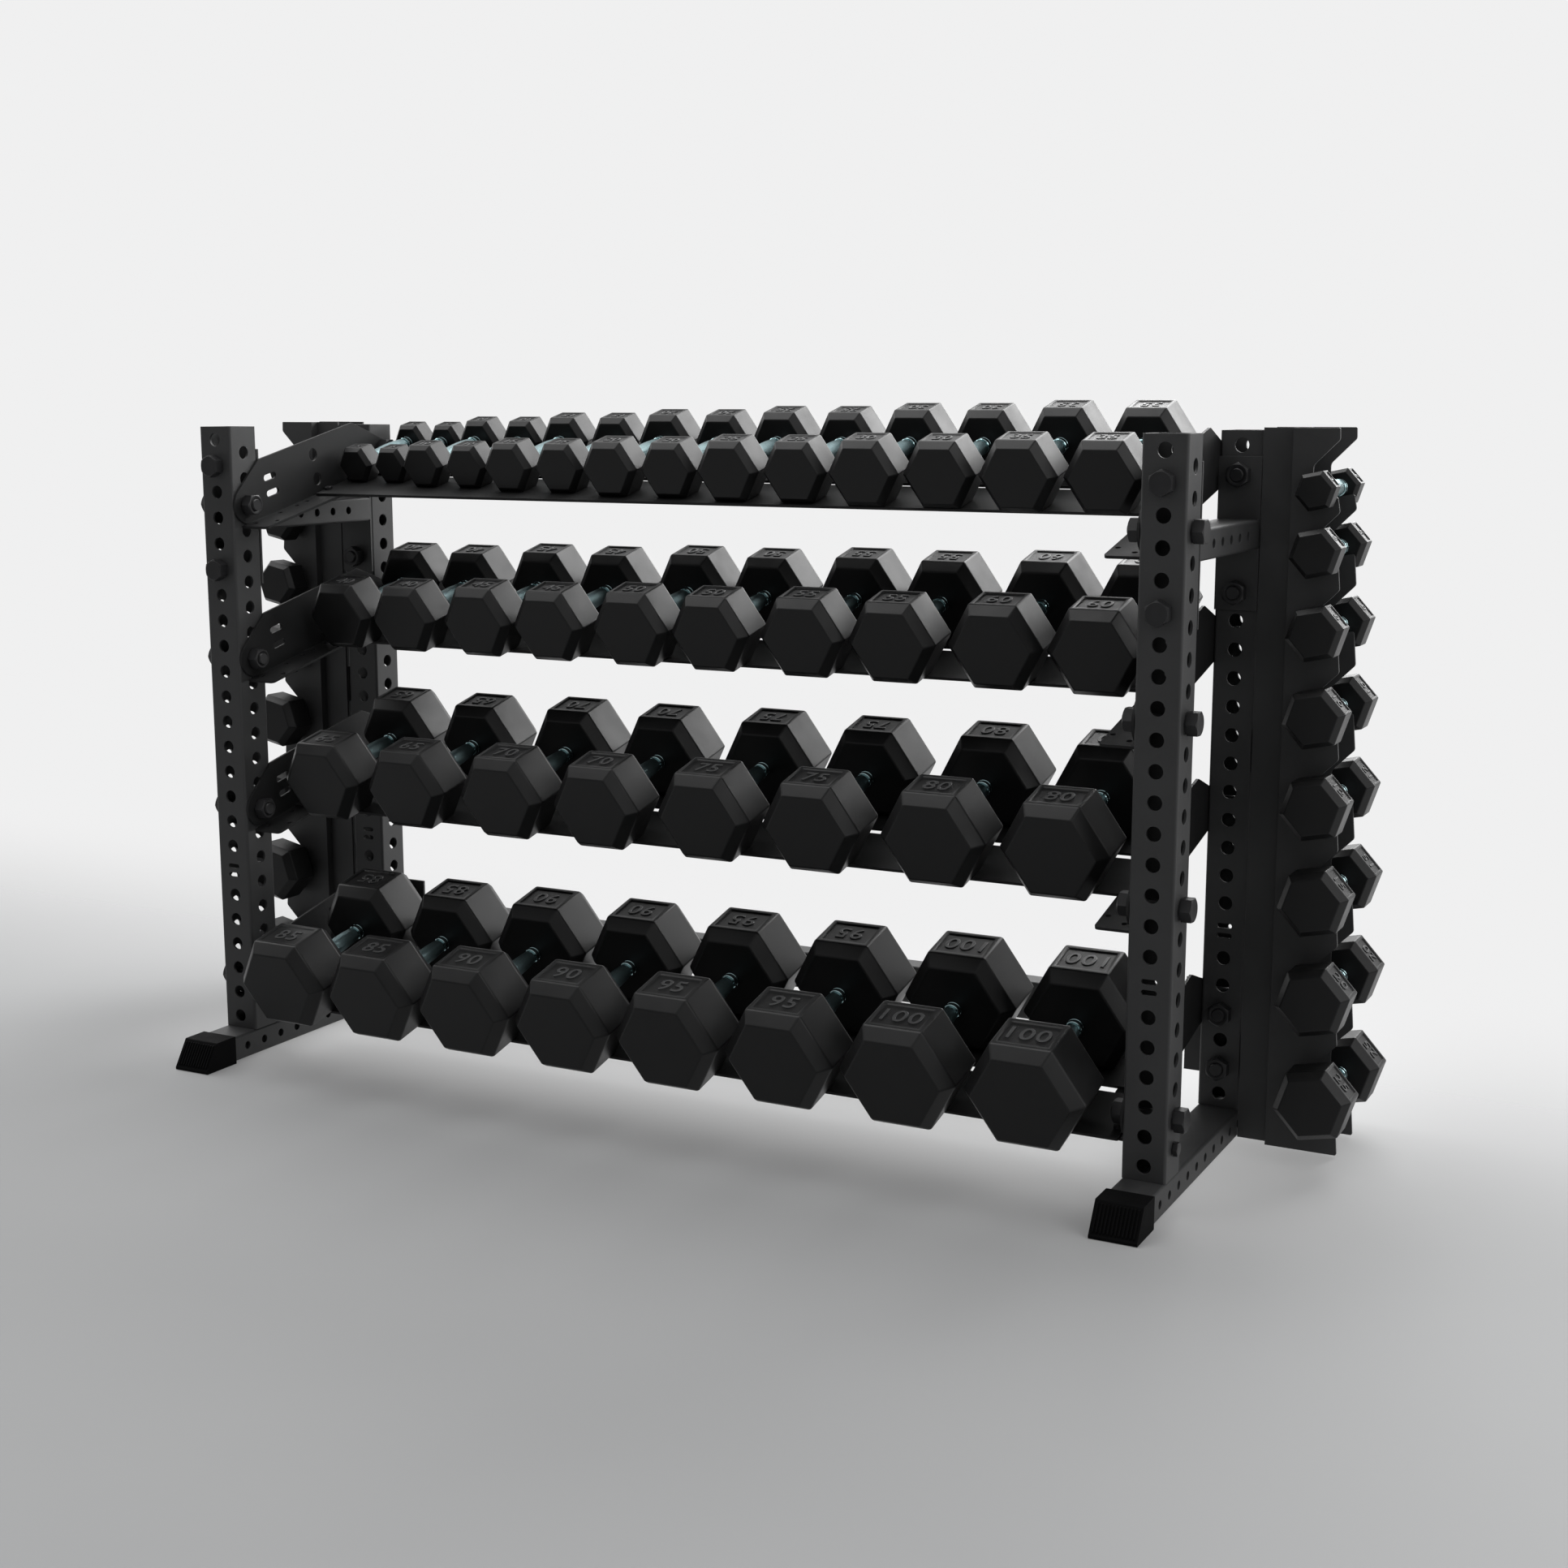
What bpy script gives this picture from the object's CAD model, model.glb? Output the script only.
import math

import bmesh
import bpy
from mathutils import Matrix, Vector

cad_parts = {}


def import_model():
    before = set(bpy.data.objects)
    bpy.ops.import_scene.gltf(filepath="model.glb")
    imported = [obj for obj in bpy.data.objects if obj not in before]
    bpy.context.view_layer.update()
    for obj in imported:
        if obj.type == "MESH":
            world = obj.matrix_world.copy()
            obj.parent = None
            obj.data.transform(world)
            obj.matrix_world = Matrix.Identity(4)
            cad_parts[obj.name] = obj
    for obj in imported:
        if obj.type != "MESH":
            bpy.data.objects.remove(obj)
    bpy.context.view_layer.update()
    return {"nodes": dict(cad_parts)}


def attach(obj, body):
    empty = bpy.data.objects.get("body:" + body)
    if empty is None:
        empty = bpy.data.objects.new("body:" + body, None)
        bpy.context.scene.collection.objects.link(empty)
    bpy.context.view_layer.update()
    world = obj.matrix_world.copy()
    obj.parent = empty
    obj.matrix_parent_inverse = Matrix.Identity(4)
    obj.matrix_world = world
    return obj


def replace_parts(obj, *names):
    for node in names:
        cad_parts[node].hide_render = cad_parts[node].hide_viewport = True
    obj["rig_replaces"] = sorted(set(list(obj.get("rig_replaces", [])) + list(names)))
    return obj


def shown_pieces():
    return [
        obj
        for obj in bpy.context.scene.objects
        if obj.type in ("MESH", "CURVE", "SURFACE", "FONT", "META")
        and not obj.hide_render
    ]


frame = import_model()
scene = bpy.context.scene
scene.view_settings.view_transform = "Standard"


# ---------- node helpers ----------


def new_material(name):
    made = bpy.data.materials.new(name)
    made.use_nodes = True
    tree = made.node_tree
    return made, tree, tree.nodes["Principled BSDF"]


def add(tree, kind, settings=None, **inputs):
    """A new node with its settings. Inputs are set or linked by name, or by number as i0, i1 and so on."""
    made = tree.nodes.new(kind)
    for key, value in (settings or {}).items():
        setattr(made, key, value)
    for key, value in inputs.items():
        socket = made.inputs[int(key[1:]) if key[0] == "i" and key[1:].isdigit() else key]
        if isinstance(value, bpy.types.NodeSocket):
            tree.links.new(value, socket)
        else:
            socket.default_value = value
    return made


def noise(tree, where, scale, detail=2.0, rough=0.5):
    made = add(tree, "ShaderNodeTexNoise", Vector=where, Scale=scale, Detail=detail, Roughness=rough)
    return made.outputs["Fac"]


def remap(tree, value, low, high, start=0.3, end=0.7):
    """Values from start to end become low to high."""
    made = add(tree, "ShaderNodeMapRange", Value=value)
    for key, number in (("From Min", start), ("From Max", end), ("To Min", low), ("To Max", high)):
        made.inputs[key].default_value = number
    return made.outputs["Result"]


def smooth_step(tree, value, start, end):
    made = add(tree, "ShaderNodeMapRange", {"interpolation_type": "SMOOTHERSTEP"}, Value=value)
    made.inputs["From Min"].default_value = start
    made.inputs["From Max"].default_value = end
    return made.outputs["Result"]


def mix_colour(tree, factor, a, b):
    """Colour a where factor is 0, and b where it is 1. The numbers are the mix node's colour inputs."""
    made = add(tree, "ShaderNodeMix", {"data_type": "RGBA"})
    for number, value in ((0, factor), (6, a), (7, b)):
        if isinstance(value, bpy.types.NodeSocket):
            tree.links.new(value, made.inputs[number])
        else:
            made.inputs[number].default_value = value if number == 0 else (*value, 1)
    return made.outputs[2]


def math_node(tree, operation, a, b=0.0):
    return add(tree, "ShaderNodeMath", {"operation": operation}, i0=a, i1=b).outputs[0]


# ---------- materials ----------

GRAIN_HEIGHT = 0.0006
KNURL_PITCH = 0.0032
KNURL_HEIGHT = 0.0005


def coated(name, dark, light, rough, grain, bump, round_edge=0.0, patch=9.0, specular=0.5):
    """Matte black surface: two-tone patches, with a fine grain in its colour and bump."""
    made, tree, shader = new_material(name)
    where = add(tree, "ShaderNodeTexCoord").outputs["Object"]
    patches = noise(tree, where, patch, detail=4.0, rough=0.6)
    fine = noise(tree, where, grain)
    tone = mix_colour(tree, remap(tree, patches, low=0.0, high=1.0), dark, light)
    speck = remap(tree, fine, low=0.0, high=0.35, start=0.35, end=0.75)
    speck_colour = tuple(1.6 * c for c in light)
    tree.links.new(mix_colour(tree, speck, tone, speck_colour), shader.inputs["Base Color"])
    tree.links.new(remap(tree, patches, rough - 0.05, rough + 0.06), shader.inputs["Roughness"])
    shader.inputs["Specular IOR Level"].default_value = specular
    bumped = add(tree, "ShaderNodeBump", Strength=bump, Distance=GRAIN_HEIGHT, Height=fine)
    if round_edge:
        edge = add(tree, "ShaderNodeBevel", {"samples": 3}, Radius=round_edge)
        tree.links.new(edge.outputs["Normal"], bumped.inputs["Normal"])
    tree.links.new(bumped.outputs["Normal"], shader.inputs["Normal"])
    return made


def chrome(name, colour, rough, knurled=False):
    """Chromed steel, plain with faint smears or with a cut diamond knurl."""
    made, tree, shader = new_material(name)
    where = add(tree, "ShaderNodeTexCoord").outputs["Object"]
    smear = noise(tree, where, 60.0, detail=4.0, rough=0.7)
    smeared = tuple(0.75 * c for c in colour)
    tone = mix_colour(tree, remap(tree, smear, low=0.0, high=1.0), colour, smeared)
    shader.inputs["Metallic"].default_value = 1.0
    tree.links.new(remap(tree, smear, rough, rough + 0.09), shader.inputs["Roughness"])
    if not knurled:
        tree.links.new(tone, shader.inputs["Base Color"])
        return made
    uv = add(tree, "ShaderNodeSeparateXYZ", Vector=add(tree, "ShaderNodeTexCoord").outputs["UV"])
    waves = math.pi / KNURL_PITCH
    diagonals = [math_node(tree, way, uv.outputs[0], uv.outputs[1]) for way in ("ADD", "SUBTRACT")]
    cuts = []
    for diagonal in diagonals:
        wave = math_node(tree, "SINE", math_node(tree, "MULTIPLY", diagonal, waves))
        cuts.append(math_node(tree, "ABSOLUTE", wave))
    height = math_node(tree, "MINIMUM", cuts[0], cuts[1])
    cut_colour = tuple(0.4 * c for c in colour)
    tree.links.new(mix_colour(tree, height, cut_colour, tone), shader.inputs["Base Color"])
    bumped = add(tree, "ShaderNodeBump", Strength=0.7, Distance=KNURL_HEIGHT, Height=height)
    tree.links.new(bumped.outputs["Normal"], shader.inputs["Normal"])
    return made


POWDER = coated(
    "powder_coat", dark=(0.024, 0.0243, 0.0247), light=(0.034, 0.0344, 0.035),
    rough=0.50, grain=1400.0, bump=0.30, round_edge=0.0011,
)
SHELF = coated(
    "shelf_coat", dark=(0.008, 0.0081, 0.0083), light=(0.014, 0.0142, 0.0145),
    rough=0.58, grain=1400.0, bump=0.30, round_edge=0.0011, specular=0.25,
)
OXIDE = coated(
    "black_oxide", dark=(0.008, 0.008, 0.0088), light=(0.015, 0.015, 0.0158),
    rough=0.38, grain=2200.0, bump=0.12, round_edge=0.0006, patch=30.0, specular=0.4,
)
RUBBER = coated(
    "head_rubber", dark=(0.0045, 0.0045, 0.0047), light=(0.0072, 0.0073, 0.0075),
    rough=0.40, grain=1900.0, bump=0.13, patch=14.0, specular=0.32,
)
DIGIT = coated(
    "digit_rubber", dark=(0.026, 0.0265, 0.027), light=(0.040, 0.0405, 0.041),
    rough=0.40, grain=1900.0, bump=0.12, patch=14.0,
)
CAP = coated(
    "cap_rubber", dark=(0.0012, 0.0012, 0.0014), light=(0.003, 0.003, 0.0032),
    rough=0.70, grain=1200.0, bump=0.30, round_edge=0.0008, patch=20.0, specular=0.07,
)
CHROME = chrome("handle_chrome", colour=(0.44, 0.60, 0.62), rough=0.10)
KNURL = chrome("handle_knurl", colour=(0.30, 0.42, 0.44), rough=0.30, knurled=True)


# ---------- reading the CAD solids ----------

SAME_CORNER = 1e5  # corners that agree when rounded to 0.01 mm are one
SAME_X = 1e4  # heads that agree in x when rounded to 0.1 mm are on one handle
HEAD_CORNERS = 24
OUTERMOST = 0.99  # share of the greatest distance from the axis that still counts as a head's corner


def solids(node):
    """Each separate solid of a CAD node, as its distinct corners."""
    mesh = frame["nodes"][node].data
    place, names, points = {}, [], []
    for v in mesh.vertices:
        key = tuple(round(c * SAME_CORNER) for c in v.co)
        if key not in place:
            place[key] = len(points)
            points.append(v.co.copy())
        names.append(place[key])
    leader = list(range(len(points)))

    def find(i):
        while leader[i] != i:
            leader[i] = leader[leader[i]]
            i = leader[i]
        return i

    for face in mesh.polygons:
        first = find(names[face.vertices[0]])
        for v in face.vertices[1:]:
            leader[find(names[v])] = first
    groups = {}
    for i, point in enumerate(points):
        groups.setdefault(find(i), []).append(point)
    return list(groups.values())


def across(point, centre, axis):
    """The part of point - centre that is square to axis."""
    offset = point - centre
    return offset - offset.dot(axis) * axis


def dumbbells(node, panel_towards):
    """Each dumbbell of a CAD node: its two head centres, the panel's direction, head side and head length."""
    by_x = {}
    for points in solids(node):
        if len(points) == HEAD_CORNERS:
            centre = sum(points, Vector()) / len(points)
            by_x.setdefault(round(centre.x * SAME_X), []).append((centre, points))
    found = []
    for _, ends in sorted(by_x.items()):
        (front, points), (rear, _) = sorted(ends, key=lambda e: e[0].y)
        axis = (rear - front).normalized()
        spokes = [across(p, front, axis) for p in points]
        side = max(s.length for s in spokes)
        corners = [s for s in spokes if s.length > OUTERMOST * side]
        # Corners 60 degrees apart have a flat between them: the cosine is 0.5.
        flats = [(a + b).normalized() for a in corners for b in corners if 0.4 < a.dot(b) / side**2 < 0.6]
        up = max(flats, key=lambda f: f.dot(panel_towards))
        reach = [(p - front).dot(axis) for p in points]
        found.append({"front": front, "rear": rear, "axis": axis, "up": up, "side": side,
                      "length": max(reach) - min(reach)})
    return found


# ---------- dumbbells ----------

# Shares of a head's side, except that the end bevel is a share of its length.
END_SIDE = 0.804
END_BEVEL = 0.225 / 1.27
SOFT_EDGE = 0.026
PANEL_MARGIN = 0.085
DIGIT_HEIGHT = 0.36

PANEL_LIP = 0.0014
PANEL_DEPTH = 0.0022
DIGIT_PROUD = 0.0013
DIGIT_SUNK = 0.0001
CAPITAL_SHARE = 0.72  # a digit's height, as a share of the font's size

COLLAR_R = 0.015
COLLAR_L = 0.016
COLLAR_SUNK = 0.002  # how far the handle runs into each head
COLLAR_TAPER = 0.0035  # how much thinner it is in there
COLLAR_GROOVE = (0.0085, 0.0092, 0.0102, 0.0109)  # along the collar: start, both ends of its floor, end
COLLAR_GROOVE_DEPTH = 0.0008
NECK_R = 0.0118
NECK_L = 0.004
GRIP_R = 0.0165
GRIP_TAPER = 0.0028
GRIP_STEPS = 8
TURNED_EDGE = 0.0012
HANDLE_SIDES = 40


def frame_matrix(origin, outward, up):
    """Local Y runs outward and local Z towards up."""
    right = outward.cross(up)
    return Matrix.Translation(origin) @ Matrix((right, outward, up)).transposed().to_4x4()


def digits(text, height, raised):
    """Raised digits in the XY plane, centred, as a mesh."""
    curve = bpy.data.curves.new("digits", "FONT")
    curve.body = text
    curve.size = height / CAPITAL_SHARE
    curve.extrude = raised / 2
    curve.bevel_depth = raised / 3
    curve.bevel_resolution = 1
    curve.resolution_u = 5
    curve.space_character = 1.08
    holder = bpy.data.objects.new("digits", curve)
    scene.collection.objects.link(holder)
    shown = holder.evaluated_get(bpy.context.evaluated_depsgraph_get())
    mesh = bpy.data.meshes.new_from_object(shown)
    bpy.data.objects.remove(holder)
    xs = [v.co.x for v in mesh.vertices]
    ys = [v.co.y for v in mesh.vertices]
    mesh.transform(Matrix.Translation((-(min(xs) + max(xs)) / 2, -(min(ys) + max(ys)) / 2, 0)))
    return mesh


def join_rows(bm, a, b):
    """A closed band of faces between two rings of corners."""
    for i in range(len(a)):
        k = (i + 1) % len(a)
        bm.faces.new((a[i], a[k], b[k], b[i]))


def head(side, length, text):
    """Rubber head: bevelled ends, softened edges, and a sunk panel with raised digits on its upper flat."""
    bm = bmesh.new()
    bevel_l = END_BEVEL * length
    rings = [
        (-length / 2, END_SIDE),
        (bevel_l - length / 2, 1),
        (length / 2 - bevel_l, 1),
        (length / 2, END_SIDE),
    ]
    turns = [math.radians(60 * i) for i in range(6)]
    rows = []
    for y, share in rings:
        corners = [(share * side * math.cos(t), y, share * side * math.sin(t)) for t in turns]
        rows.append([bm.verts.new(corner) for corner in corners])
    bm.faces.new(rows[0][::-1])
    bm.faces.new(rows[-1])
    for a, b in zip(rows, rows[1:]):
        join_rows(bm, a, b)
    bmesh.ops.recalc_face_normals(bm, faces=bm.faces)
    bmesh.ops.bevel(bm, geom=list(bm.edges), offset=SOFT_EDGE * side, segments=3, profile=0.5,
                    affect="EDGES", clamp_overlap=True)
    for face in bm.faces:
        face.smooth = True
    # Written out and read back, because otherwise the order of the faces added below changes from run to run.
    mesh = bpy.data.meshes.new("head")
    bm.to_mesh(mesh)
    bm.clear()
    bm.from_mesh(mesh)
    panel = max((f for f in bm.faces if f.normal.z > 0.99), key=lambda f: f.calc_area())
    bmesh.ops.inset_individual(bm, faces=[panel], thickness=PANEL_MARGIN * side)
    bmesh.ops.inset_individual(bm, faces=[panel], thickness=PANEL_LIP, depth=-PANEL_DEPTH)
    floor_z = panel.calc_center_median().z
    label = digits(text, DIGIT_HEIGHT * side, DIGIT_PROUD)
    turned = Matrix.Rotation(math.pi, 4, "Z")
    label.transform(Matrix.Translation((0, 0, floor_z + DIGIT_PROUD / 2 - DIGIT_SUNK)) @ turned)
    before = set(bm.faces)
    bm.from_mesh(label)
    for face in bm.faces:
        if face not in before:
            face.material_index = 1
    bpy.data.meshes.remove(label)
    bm.to_mesh(mesh)
    bm.free()
    return mesh


def handle_profile(length):
    """(distance from the middle, radius, 1 where knurled) along one half of the handle."""
    end = length / 2
    grip_end = end - COLLAR_L - NECK_L
    collar = grip_end + NECK_L
    half = [(0.0, GRIP_R, 1)]
    for i in range(1, GRIP_STEPS + 1):
        t = i / GRIP_STEPS
        half.append((t * (grip_end - TURNED_EDGE), GRIP_R - GRIP_TAPER * t * t, 1))
    half += [
        (grip_end, GRIP_R - GRIP_TAPER - TURNED_EDGE, 0),
        (grip_end, NECK_R, 0),
        (collar, NECK_R, 0),
        (collar, COLLAR_R - TURNED_EDGE, 0),
        (collar + TURNED_EDGE, COLLAR_R, 0),
        (collar + COLLAR_GROOVE[0], COLLAR_R, 0),
        (collar + COLLAR_GROOVE[1], COLLAR_R - COLLAR_GROOVE_DEPTH, 0),
        (collar + COLLAR_GROOVE[2], COLLAR_R - COLLAR_GROOVE_DEPTH, 0),
        (collar + COLLAR_GROOVE[3], COLLAR_R, 0),
        (end - TURNED_EDGE, COLLAR_R, 0),
        (end + COLLAR_SUNK, COLLAR_R - COLLAR_TAPER, 0),
    ]
    return half


def handle(length):
    """Chromed handle about local Y: knurled barrel grip, with a neck and a grooved collar at each end."""
    half = handle_profile(length)
    line = [(-y, r, knurled) for y, r, knurled in half[:0:-1]] + half
    turns = [2 * math.pi * i / HANDLE_SIDES for i in range(HANDLE_SIDES)]
    bm = bmesh.new()
    layer = bm.loops.layers.uv.new("UVMap")
    rows = []
    for y, r, _ in line:
        rows.append([bm.verts.new((r * math.cos(t), y, r * math.sin(t))) for t in turns])
    for j in range(len(rows) - 1):
        for i in range(HANDLE_SIDES):
            k = (i + 1) % HANDLE_SIDES
            face = bm.faces.new((rows[j][i], rows[j + 1][i], rows[j + 1][k], rows[j][k]))
            face.smooth = True
            face.material_index = 1 if line[j][2] and line[j + 1][2] else 0
            for loop, turn, row in zip(face.loops, (i, i, i + 1, i + 1), (j, j + 1, j + 1, j)):
                loop[layer].uv = (turn / HANDLE_SIDES * 2 * math.pi * GRIP_R, line[row][0])
    bm.faces.new(rows[0])
    bm.faces.new(rows[-1][::-1])
    bmesh.ops.recalc_face_normals(bm, faces=bm.faces)
    mesh = bpy.data.meshes.new("handle")
    bm.to_mesh(mesh)
    bm.free()
    return mesh


def piece(name, parts, materials, body):
    """One object from (mesh, matrix) parts, riding on a body."""
    bm = bmesh.new()
    for mesh, matrix in parts:
        before = len(bm.verts)
        bm.from_mesh(mesh)
        bm.verts.ensure_lookup_table()
        bmesh.ops.transform(bm, matrix=matrix, verts=bm.verts[before:])
    made = bpy.data.meshes.new(name)
    bm.to_mesh(made)
    bm.free()
    for m in materials:
        made.materials.append(m)
    thing = bpy.data.objects.new(name, made)
    scene.collection.objects.link(thing)
    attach(thing, body)
    return thing


def sharpen(thing, angle):
    """Smooth surfaces keep their corners, and large flats stay flat."""
    thing.data.set_sharp_from_angle(angle=math.radians(angle))


def weigh(thing):
    """Softened edges shade smoothly into flats that stay flat."""
    made = thing.modifiers.new("weighted_normals", "WEIGHTED_NORMAL")
    made.keep_sharp = True
    made.weight = 80


def build_dumbbells(node, title, panel_towards, labels):
    """Detailed heads and handles in place of a CAD node of dumbbells, on the body of the same name."""
    heads, handles = [], []
    for found, text in zip(dumbbells(node, panel_towards), labels):
        mesh = head(found["side"], found["length"], text)
        heads.append((mesh, frame_matrix(found["front"], -found["axis"], found["up"])))
        heads.append((mesh, frame_matrix(found["rear"], found["axis"], found["up"])))
        apart = (found["rear"] - found["front"]).length - found["length"]
        middle = (found["rear"] + found["front"]) / 2
        handles.append((handle(apart), frame_matrix(middle, found["axis"], found["up"])))
    rubber = piece(title + "_heads", heads, [RUBBER, DIGIT], node)
    weigh(rubber)
    steel = piece(title + "_handles", handles, [CHROME, KNURL], node)
    sharpen(steel, 30.0)
    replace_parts(rubber, node)


UP = Vector((0, 0, 1))
WEIGHTS = range(5, 105, 5)
HOLDER_LABELS = ["3", "5", "8", "10", "12", "15", "20", "25"]
for weight in WEIGHTS:
    build_dumbbells(f"dumbbells_{weight:03d}", f"pair_{weight:03d}", UP, [str(weight)] * 2)
for side_name, sign in (("left", -1), ("right", 1)):
    node = f"holder_{side_name}_dumbbells"
    found = dumbbells(node, UP)
    downward = sorted(range(len(found)), key=lambda i: -found[i]["front"].z)
    labels = [HOLDER_LABELS[downward.index(i)] for i in range(len(found))]
    build_dumbbells(node, f"holder_{side_name}_set", Vector((sign, 0, 1)).normalized(), labels)


# ---------- bolts ----------

BOLT_SIDES = 36
LEVEL = 1e-4  # a hexagon this near a solid's end reaches it
SAME_END = 1e-5  # corners this near a solid's end are on it
HEX_CORNER = 0.98  # share of the greatest distance from the axis that still counts as a hexagon's corner

# Shares of a hexagon's width across flats.
CHAMFER_R = 0.475
WASHER_H = 0.06

CHAMFER_UNDER = 0.3  # fall of the chamfer for each unit of radius, beside the washer face
CHAMFER_OVER = 0.55
TOP_SHARE = 0.86  # flat top's radius, as a share of the chamfer's

# Shares of the shaft's radius.
THREAD_PITCH = 0.18
THREAD_ROOT = 0.93
THREAD_END = 0.86

THREADS = 6  # the most that one shaft shows
SHAFT_INSET = 0.0003
BORE_INSET = 0.0002
BORE_CHAMFER = 0.06  # share of the nut's height


def hex_radius(turn, flats):
    """Distance from the axis to the side of a hexagon whose corner is at turn 0."""
    inside = (turn % math.radians(60)) - math.radians(30)
    return flats / 2 / math.cos(inside)


def hex_rows(flats, start, end):
    """Rows of (distance, radius) at each turn, for a chamfered hexagon from washer face to outer end."""
    turns = [2 * math.pi * i / BOLT_SIDES for i in range(BOLT_SIDES)]
    out = [hex_radius(t, flats) for t in turns]
    way = 1 if end > start else -1
    lip = way * WASHER_H * flats
    round_r = CHAMFER_R * flats
    rows = [
        [(start, round_r)] * BOLT_SIDES,
        [(start + lip, round_r)] * BOLT_SIDES,
        [(start + lip + way * max(0.0, r - round_r) * CHAMFER_UNDER, r) for r in out],
        [(end - way * max(0.0, r - round_r) * CHAMFER_OVER, r) for r in out],
        [(end, min(r, round_r)) for r in out],
        [(end, TOP_SHARE * round_r)] * BOLT_SIDES,
    ]
    return rows, turns


def turned_rows(bm, rows, turns, centre, axis, corner):
    """Rings of corners joined by faces, where turn 0 lies towards the hexagon's corner."""
    beside = axis.cross(corner)
    made = []
    for row in rows:
        ring = []
        for (distance, radius), turn in zip(row, turns):
            spoke = math.cos(turn) * corner + math.sin(turn) * beside
            ring.append(bm.verts.new(centre + distance * axis + radius * spoke))
        made.append(ring)
    for a, b in zip(made, made[1:]):
        join_rows(bm, a, b)
    return made


def fastener(points, axis):
    """A solid's centre line, its ends along the axis, and where along it the hexagon reaches."""
    centre = sum(points, Vector()) / len(points)
    along = [(p - centre).dot(axis) for p in points]
    low, high = min(along), max(along)
    end = [across(p, centre, axis) for p, t in zip(points, along) if abs(t - low) < SAME_END]
    centre = centre + sum(end, Vector()) / len(end)
    spokes = [across(p, centre, axis) for p in points]
    corner = max(spokes, key=lambda s: s.length)
    hexagon = [t for s, t in zip(spokes, along) if s.length > HEX_CORNER * corner.length]
    return {"centre": centre, "middle": centre + (low + high) / 2 * axis, "low": low, "high": high,
            "corner": corner.normalized(), "flats": corner.length * 2 * math.cos(math.radians(30)),
            "shaft_r": min(s.length for s in spokes), "hexagon": (min(hexagon), max(hexagon)),
            "is_head": len(hexagon) == len(points)}


def bolt_layout(found, heads, axis):
    """A shaft's head, that head's top and base, the shaft's far end, and its nut's inner and outer end."""
    low, high = found["low"], found["high"]
    near, away = found["hexagon"]
    if near - low < LEVEL:
        return found, low, away, high, None
    if high - away < LEVEL:
        return found, high, near, low, None
    nut_high = high - away < near - low
    base, far = (low, high) if nut_high else (high, low)
    nut = (near, away) if nut_high else (away, near)
    seat = found["centre"] + base * axis
    head_solid = min(heads, key=lambda f: (f["middle"] - seat).length)
    top = base + (head_solid["low"] - head_solid["high"]) * (1 if nut_high else -1)
    return head_solid, top, base, far, nut


def shaft_rows(base, far, shaft_r):
    """A shaft from under the head to its threaded end."""
    way = 1 if far > base else -1
    pitch = THREAD_PITCH * shaft_r
    cuts = min(THREADS, int(0.5 * abs(far - base) / pitch))
    rows = [[(base, shaft_r - SHAFT_INSET)] * BOLT_SIDES]
    for i in range(2 * cuts - 1):
        radius = shaft_r - SHAFT_INSET if i % 2 == 0 else THREAD_ROOT * shaft_r
        rows.append([(far - way * (cuts - i / 2) * pitch, radius)] * BOLT_SIDES)
    return rows + [[(far, THREAD_END * shaft_r)] * BOLT_SIDES]


def bolt_set(node, axis, title):
    """Chamfered heads with a washer face, nuts and threaded ends in place of a node's plain bolts."""
    bm = bmesh.new()
    found_all = [fastener(points, axis) for points in solids(node)]
    heads = [f for f in found_all if f["is_head"]]
    shafts = [f for f in found_all if not f["is_head"]]
    for found in shafts:
        head_solid, top, base, far, nut = bolt_layout(found, heads, axis)
        rows, turns = hex_rows(head_solid["flats"], base, top)
        rows = rows[::-1] + shaft_rows(base, far, found["shaft_r"])
        made = turned_rows(bm, rows, turns, found["centre"], axis, head_solid["corner"])
        bm.faces.new(made[0])
        bm.faces.new(made[-1])
        if nut:
            inner, outer = nut
            bore = found["shaft_r"] - BORE_INSET
            rows, turns = hex_rows(found["flats"], inner, outer)
            rows.append([(outer - (outer - inner) * BORE_CHAMFER, bore)] * BOLT_SIDES)
            rows.append([(inner, bore)] * BOLT_SIDES)
            made = turned_rows(bm, rows, turns, found["centre"], axis, found["corner"])
            join_rows(bm, made[-1], made[0])
    bmesh.ops.recalc_face_normals(bm, faces=bm.faces)
    for face in bm.faces:
        face.smooth = True
    mesh = bpy.data.meshes.new(title)
    bm.to_mesh(mesh)
    bm.free()
    thing = piece(title, [(mesh, Matrix.Identity(4))], [OXIDE], "frame")
    sharpen(thing, 24.0)
    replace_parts(thing, node)


slope_up = dumbbells("dumbbells_050", UP)[0]["up"]
X = Vector((1, 0, 0))
Y = Vector((0, 1, 0))
BOLT_AXES = {
    "tier_bolts": X,
    "crossmember_bolts": Y,
    "rear_beam_bolts": Y,
    "rail_bolts": slope_up,
    "holder_bolts": X,
    "foot_bolts": X,
}
for node, axis in BOLT_AXES.items():
    bolt_set(node, axis, node.replace("_bolts", "_hex_bolts"))


# ---------- frame nodes and foot caps ----------

RIB_COUNT = 12
RIB_W = 0.0036
RIB_TOP_SHARE = 2 / 2.6  # width of a rib's top, as a share of its width
RIB_PROUD = 0.0015
RIB_FOOT = 0.05  # where a rib starts, as a share of the toe's slope
RIB_LENGTH = 0.88
RIB_END = 0.003
TOE_Z = 0.007  # height at which the line of the ribs leaves the toe's upright face
TOP_SLACK = 0.001  # corners this near a cap's top are on it


def coat_of(name):
    """The finish of a frame node."""
    if name == "foot_caps":
        return CAP
    if name.startswith("tier_"):
        return SHELF
    return POWDER


REPLACED = {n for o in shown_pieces() for n in o.get("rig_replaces", [])}
for name, thing in frame["nodes"].items():
    if name not in REPLACED:
        thing.data.materials.clear()
        thing.data.materials.append(coat_of(name))


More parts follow.
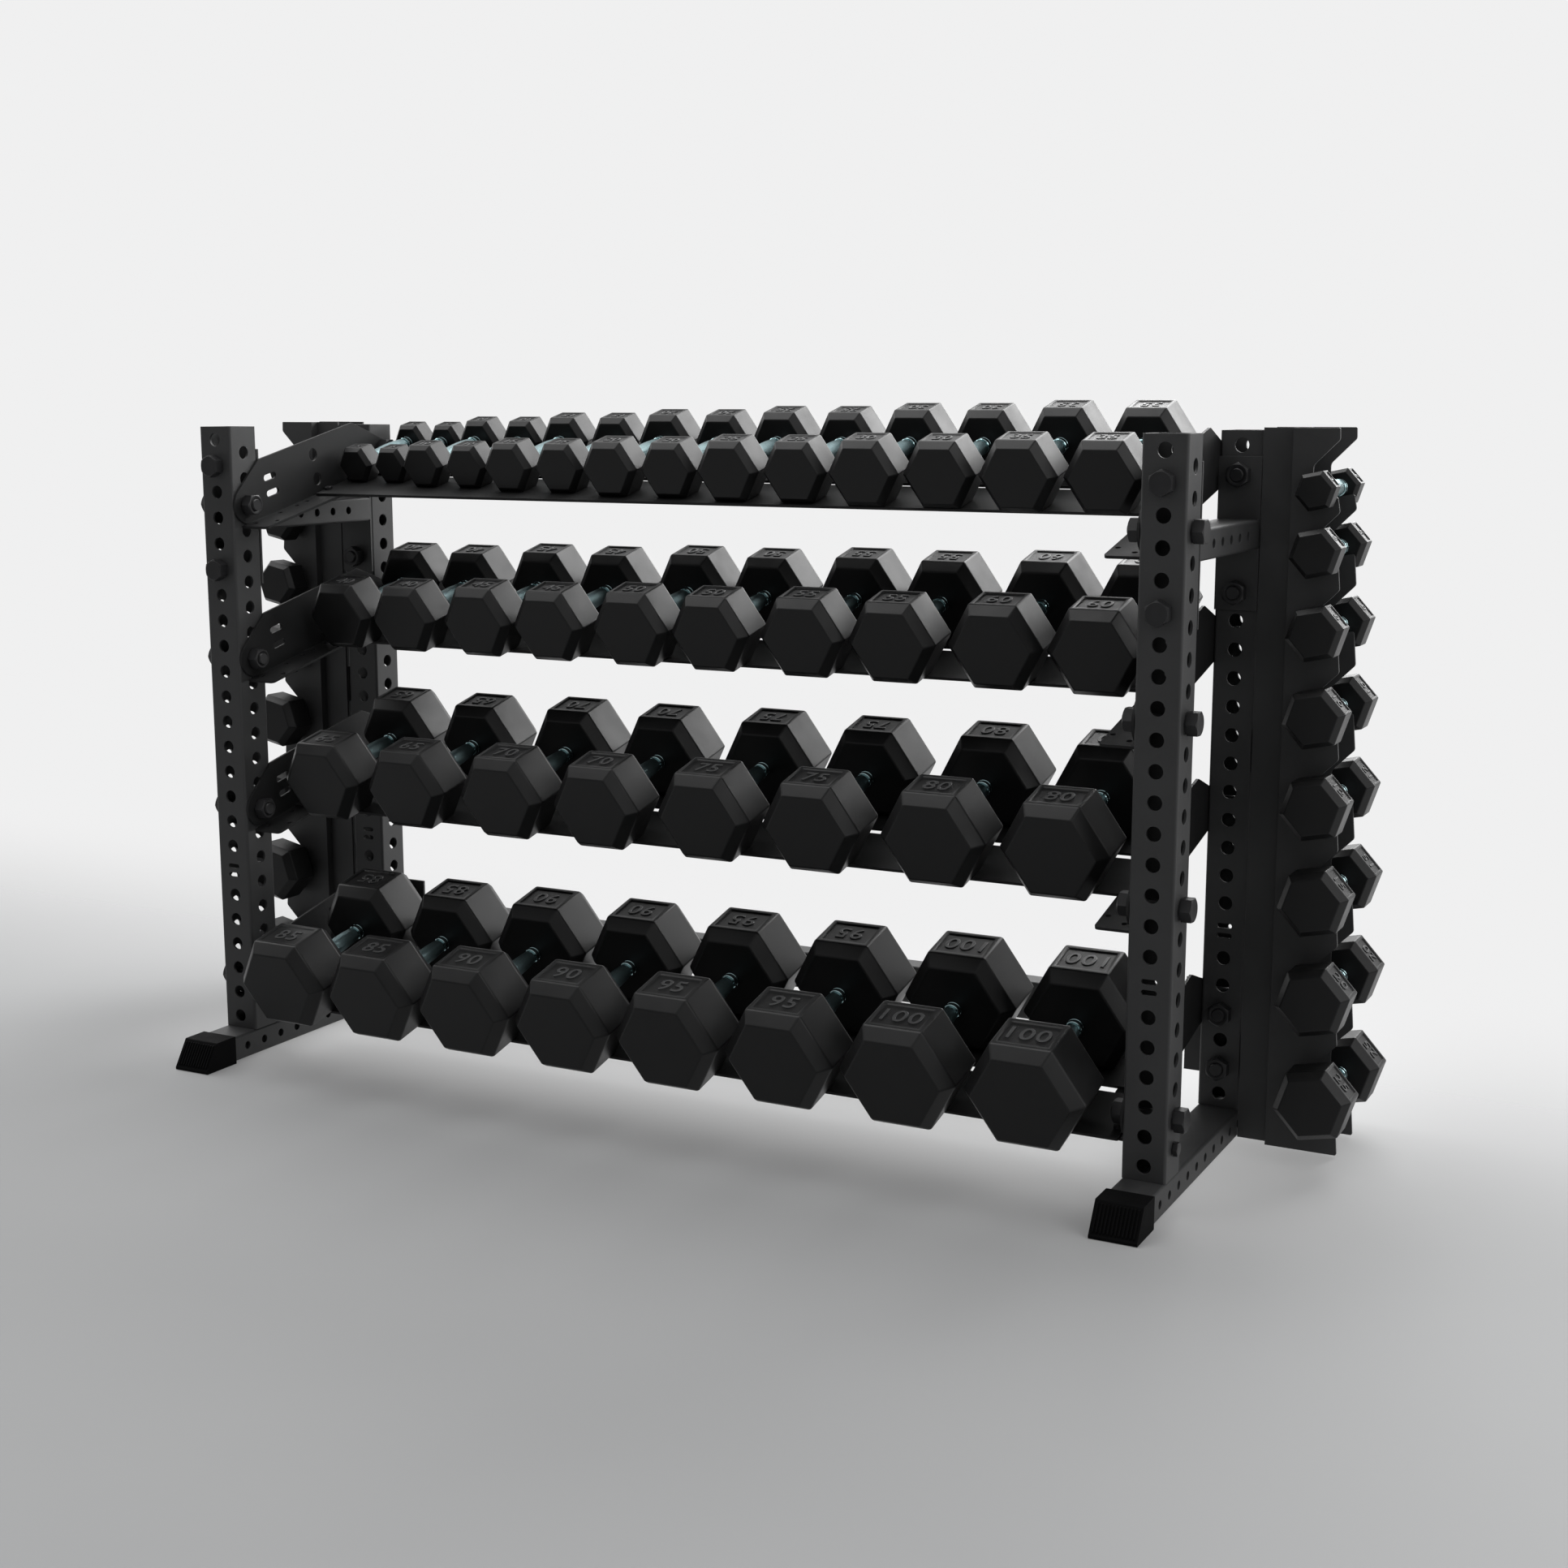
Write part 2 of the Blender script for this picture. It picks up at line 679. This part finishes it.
def cap_ribs():
    """Moulded ribs up the sloping toe of every foot cap."""
    bm = bmesh.new()
    for points in solids("foot_caps"):
        lo = Vector(map(min, *points))
        hi = Vector(map(max, *points))
        out = 1 if (lo.y + hi.y) > 0 else -1
        toe_y = hi.y if out > 0 else lo.y
        top_y = max(out * p.y for p in points if p.z > hi.z - TOP_SLACK) * out
        foot = Vector((0, toe_y, TOE_Z))
        top = Vector((0, top_y, hi.z))
        up = (top - foot).normalized()
        normal = Vector((0, out, 0))
        normal = (normal - normal.dot(up) * up).normalized()
        length = (top - foot).length
        end = RIB_LENGTH * length
        half_w = RIB_W / 2
        half_top = half_w * RIB_TOP_SHARE
        for i in range(RIB_COUNT):
            start_at = foot + up * (RIB_FOOT * length)
            start_at.x = lo.x + (hi.x - lo.x) * (i + 1) / (RIB_COUNT + 1)
            rows = []
            for t, high in ((0.0, -0.5), (RIB_END, 1), (end - RIB_END, 1), (end, -0.5)):
                base = start_at + up * t
                under = base - normal * RIB_PROUD
                over = base + normal * RIB_PROUD * high
                rows.append([
                    bm.verts.new(under - half_w * X),
                    bm.verts.new(over - half_top * X),
                    bm.verts.new(over + half_top * X),
                    bm.verts.new(under + half_w * X),
                ])
            for a, b in zip(rows, rows[1:]):
                join_rows(bm, a, b)
            bm.faces.new(rows[0][::-1])
            bm.faces.new(rows[-1])
    bmesh.ops.recalc_face_normals(bm, faces=bm.faces)
    mesh = bpy.data.meshes.new("foot_cap_ribs")
    bm.to_mesh(mesh)
    bm.free()
    piece("foot_cap_ribs", [(mesh, Matrix.Identity(4))], [CAP], "frame")


cap_ribs()


# ---------- floor, light and camera ----------

FLOOR_R = 7.0
FLOOR_Z = -0.0002
FLOOR_DARK = (0.335, 0.338, 0.341)
FLOOR_LIGHT = (0.36, 0.362, 0.364)
# From and to, in metres. The floor fades out far off and behind the rack, and glows faintly from under it
# backwards, which softens the rack's shadow.
FADE_FAR = (3.5, 6.8)
FADE_BEHIND = (-0.45, 1.6)
GLOW_DEEP = (-0.55, -0.05)
GLOW_BESIDE = (0.8, 1.5)
GLOW = 0.3

FRONT_HIGH = (0.55, 0.55, 0.555)
FRONT_LEVEL = (0.07, 0.07, 0.071)
FRONT_LOW = (0.45, 0.45, 0.452)
BACK = (0.87, 0.87, 0.872)

# Name, place, what it points at, size and power.
LIGHTS = [
    ("key", (0.9, 3.4, 3.0), (0, -0.3, 0.4), (3.0, 2.4), 168),
    ("side", (4.2, -1.2, 2.4), (0.6, 0, 0.7), (2.2, 2.2), 32),
    ("left", (-3.4, 0.6, 2.6), (-1.5, 0, 0), (2.2, 2.2), 35),
    ("top", (-0.6, 0.4, 4.4), (0, 0, 0.5), (4.0, 3.0), 90),
]

# The camera of the photograph, fitted to the uprights' holes. Angles are in degrees.
CAMERA_AT = (2.00436, -3.5361, 1.32242)
CAMERA_DOWN = 10.068
CAMERA_TURN = 27.508
CAMERA_LENS = 49.52
CAMERA_SENSOR = 36.0


def floor():
    """Plain pale floor that fades out far off and behind the rack."""
    made, tree, shader = new_material("studio_floor")
    where = add(tree, "ShaderNodeTexCoord").outputs["Object"]
    faint = noise(tree, where, 1.3, detail=3.0)
    tree.links.new(mix_colour(tree, faint, FLOOR_DARK, FLOOR_LIGHT), shader.inputs["Base Color"])
    shader.inputs["Roughness"].default_value = 0.7
    shader.inputs["Specular IOR Level"].default_value = 0.2
    far = add(tree, "ShaderNodeVectorMath", {"operation": "LENGTH"}, i0=where).outputs["Value"]
    along = add(tree, "ShaderNodeSeparateXYZ", Vector=where)
    deep = along.outputs["Y"]
    beside = smooth_step(tree, math_node(tree, "ABSOLUTE", along.outputs["X"]), *GLOW_BESIDE)
    within = math_node(tree, "SUBTRACT", 1.0, beside)
    glow = math_node(tree, "MULTIPLY", smooth_step(tree, deep, *GLOW_DEEP), within)
    tree.links.new(math_node(tree, "MULTIPLY", glow, GLOW), shader.inputs["Emission Strength"])
    shader.inputs["Emission Color"].default_value = (1, 1, 1, 1)
    rim = smooth_step(tree, far, *FADE_FAR)
    behind = smooth_step(tree, deep, *FADE_BEHIND)
    fade = math_node(tree, "MAXIMUM", rim, behind)
    clear = add(tree, "ShaderNodeBsdfTransparent")
    both = add(tree, "ShaderNodeMixShader", i0=fade, i1=shader.outputs[0], i2=clear.outputs[0])
    tree.links.new(both.outputs[0], tree.nodes["Material Output"].inputs["Surface"])
    bpy.ops.mesh.primitive_circle_add(vertices=96, radius=FLOOR_R, fill_type="NGON", location=(0, 0, FLOOR_Z))
    plane = bpy.context.object
    plane.name = "studio_floor"
    plane.data.materials.append(made)


def world():
    """Dark in front at eye level and paler above and below it, with a pale backdrop behind the rack."""
    made = bpy.data.worlds.new("studio")
    made.use_nodes = True
    tree = made.node_tree
    ray = add(tree, "ShaderNodeSeparateXYZ", Vector=add(tree, "ShaderNodeTexCoord").outputs["Generated"])
    behind = remap(tree, ray.outputs["Y"], low=0.0, high=1.0, start=-0.35, end=0.35)
    above = remap(tree, ray.outputs["Z"], low=0.0, high=1.0, start=-0.1, end=0.9)
    below = remap(tree, ray.outputs["Z"], low=1.0, high=0.0, start=-0.1, end=-0.02)
    front = mix_colour(tree, below, mix_colour(tree, above, FRONT_LEVEL, FRONT_HIGH), FRONT_LOW)
    tone = mix_colour(tree, behind, front, BACK)
    tree.links.new(tone, tree.nodes["Background"].inputs["Color"])
    scene.world = made


def light(name, at, towards, size, power):
    data = bpy.data.lights.new(name, "AREA")
    data.shape = "RECTANGLE"
    data.size, data.size_y = size
    data.energy = power
    thing = bpy.data.objects.new(name, data)
    scene.collection.objects.link(thing)
    thing.location = at
    thing.rotation_euler = (Vector(towards) - Vector(at)).to_track_quat("-Z", "Y").to_euler()
    thing.visible_camera = False


floor()
world()
for setting in LIGHTS:
    light(*setting)

lens = bpy.data.cameras.new("camera")
lens.lens = CAMERA_LENS
lens.sensor_width = CAMERA_SENSOR
lens.clip_start = 0.05
lens.clip_end = 60
camera = bpy.data.objects.new("camera", lens)
scene.collection.objects.link(camera)
camera.location = CAMERA_AT
camera.rotation_euler = (math.radians(90 - CAMERA_DOWN), 0, math.radians(CAMERA_TURN))
scene.camera = camera
